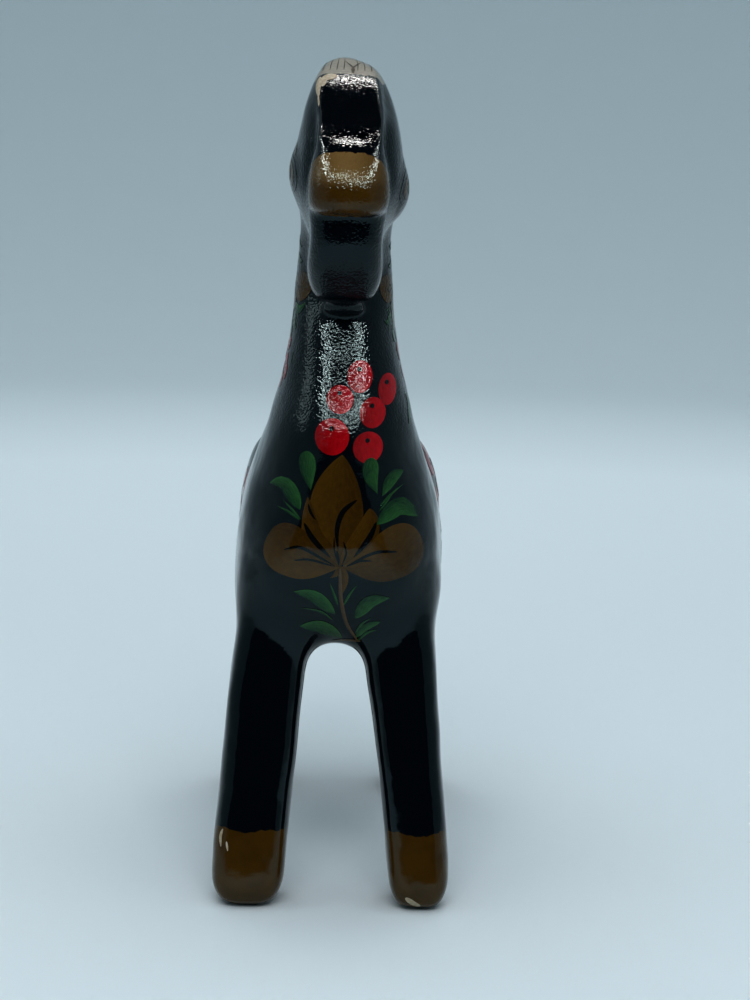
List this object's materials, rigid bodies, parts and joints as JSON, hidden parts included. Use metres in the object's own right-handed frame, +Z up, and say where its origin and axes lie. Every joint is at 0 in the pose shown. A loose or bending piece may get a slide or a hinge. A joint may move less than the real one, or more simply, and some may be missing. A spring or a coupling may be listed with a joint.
{
  "type": "carved animal statue",
  "caption": "Standing long-necked hoofed animal carved in wood, black lacquered with painted flowers, berries, muzzle and hooves.",
  "frame": {"origin": "on the ground under the middle of the figure's length and width", "axes": "+Z up, the animal faces -Y, +X is the animal's left"},
  "size_m": [0.065, 0.1559, 0.22],
  "materials": {
    "black_lacquer": "high-gloss clear lacquer over blue-black paint on wood, slight orange peel",
    "ochre_paint": "brown-gold paint under clear gloss lacquer, on the muzzle, hooves, crown and petals",
    "red_paint": "red dabbed berries under clear gloss lacquer",
    "green_paint": "green brushed leaves under clear gloss lacquer",
    "chipped_ground": "matte pale ground and wood where the lacquer has chipped",
    "dowel_wood": "bare turned birch, hidden"
  },
  "bodies": {
    "root": {"torso": "black_lacquer", "neck": "black_lacquer", "head": "black_lacquer", "front_leg_right": "black_lacquer", "front_leg_left": "black_lacquer", "hind_leg_right": "black_lacquer", "hind_leg_left": "black_lacquer", "tail": "black_lacquer", "neck_dowel_front": "dowel_wood", "neck_dowel_back": "dowel_wood", "head_dowel": "dowel_wood", "front_leg_dowel_right": "dowel_wood", "front_leg_dowel_left": "dowel_wood", "hind_leg_dowel_right": "dowel_wood", "hind_leg_dowel_left": "dowel_wood", "tail_dowel": "dowel_wood"}
  },
  "joints": []
}
